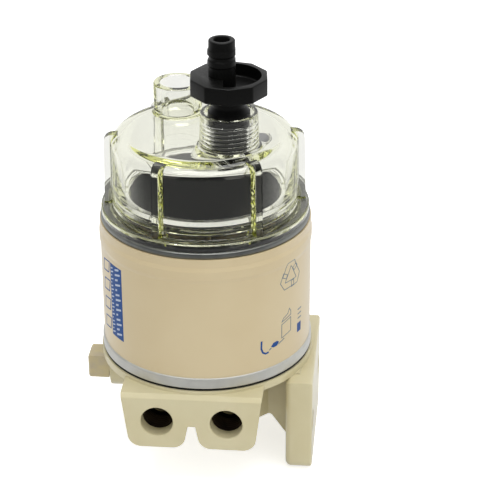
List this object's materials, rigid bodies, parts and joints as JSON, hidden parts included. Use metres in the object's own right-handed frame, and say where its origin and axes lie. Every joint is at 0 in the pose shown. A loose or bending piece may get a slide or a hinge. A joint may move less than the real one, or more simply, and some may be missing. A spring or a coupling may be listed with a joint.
{
  "type": "fuel water separator",
  "caption": "Spin-on fuel water separator: cast head with side bracket and threaded ports, canister element, and clear ribbed bowl with a knobbed drain valve.",
  "frame": {"origin": "middle of the two bolt holes, on the bracket's mounting face", "axes": "+X out of the mounting face, away from the filter; +Z along the filter's axis, from the head to the bowl, as the picture shows it; -Y out of the two open ports. In service the filter hangs with +Z down."},
  "size_m": [0.0899, 0.086, 0.1716],
  "materials": {
    "cream_paint": "semi-gloss cream paint over die-cast aluminium",
    "plug_paint": "cream paint over a steel pipe plug",
    "can_paint": "smooth beige enamel over drawn steel",
    "zinc_steel": "light grey zinc-plated sheet steel",
    "dark_steel": "dark grey plated steel rim",
    "turned_steel": "turned steel",
    "black_rubber": "black nitrile rubber",
    "clear_plastic": "clear moulded plastic with a faint yellow-green tint",
    "black_plastic": "black moulded plastic, satin",
    "dark_plastic": "dark grey moulded plastic",
    "filter_paper": "pleated resin-treated paper"
  },
  "bodies": {
    "head": {"head_casting": "cream_paint", "centre_stud": "turned_steel", "side_port_plug": "plug_paint", "rear_port_plug_left": "plug_paint", "rear_port_plug_right": "plug_paint"},
    "head_gasket": {"head_gasket": "black_rubber"},
    "element": {"seam_lid": "zinc_steel", "threaded_plate": "turned_steel", "can_shell": "can_paint", "bowl_thread_ring": "turned_steel", "rim_ring": "dark_steel", "pleated_media": "filter_paper", "perforated_tube": "zinc_steel", "head_side_cap": "zinc_steel", "bowl_side_cap": "dark_plastic", "stud_grommet": "black_rubber"},
    "bowl_seal": {"bowl_seal": "black_rubber"},
    "bowl": {"clear_bowl": "clear_plastic"},
    "drain_seal": {"drain_seal": "black_rubber"},
    "drain_valve": {"drain_valve": "black_plastic"}
  },
  "joints": [
    {"name": "element_lift", "type": "slide", "parent": "head", "child": "head_gasket", "axis": [0, 0, 1], "range_m": [0, 0.00719]},
    {"name": "element_spin", "type": "hinge", "parent": "head_gasket", "child": "element", "pos_m": [-0.0429, 0, 0.02545], "axis": [0, 0, 1], "range_deg": [0, 1620]},
    {"name": "bowl_lift", "type": "slide", "parent": "element", "child": "bowl_seal", "axis": [0, 0, 1], "range_m": [0, 0.0068]},
    {"name": "bowl_spin", "type": "hinge", "parent": "bowl_seal", "child": "bowl", "pos_m": [-0.0429, 0, 0.07975], "axis": [0, 0, 1], "range_deg": [0, 810]},
    {"name": "drain_lift", "type": "slide", "parent": "bowl", "child": "drain_seal", "axis": [0, 0, 1], "range_m": [0, 0.00485]},
    {"name": "drain_turn", "type": "hinge", "parent": "drain_seal", "child": "drain_valve", "pos_m": [-0.03229, -0.01329, 0.11075], "axis": [0, 0, 1], "range_deg": [0, 1080]}
  ],
  "couplings": [
    {"joint": "element_lift", "follows": "element_spin", "m_per_rad": 0.00025266},
    {"joint": "bowl_lift", "follows": "bowl_spin", "m_per_rad": 0.00047746},
    {"joint": "drain_lift", "follows": "drain_turn", "m_per_rad": 0.00025465}
  ]
}
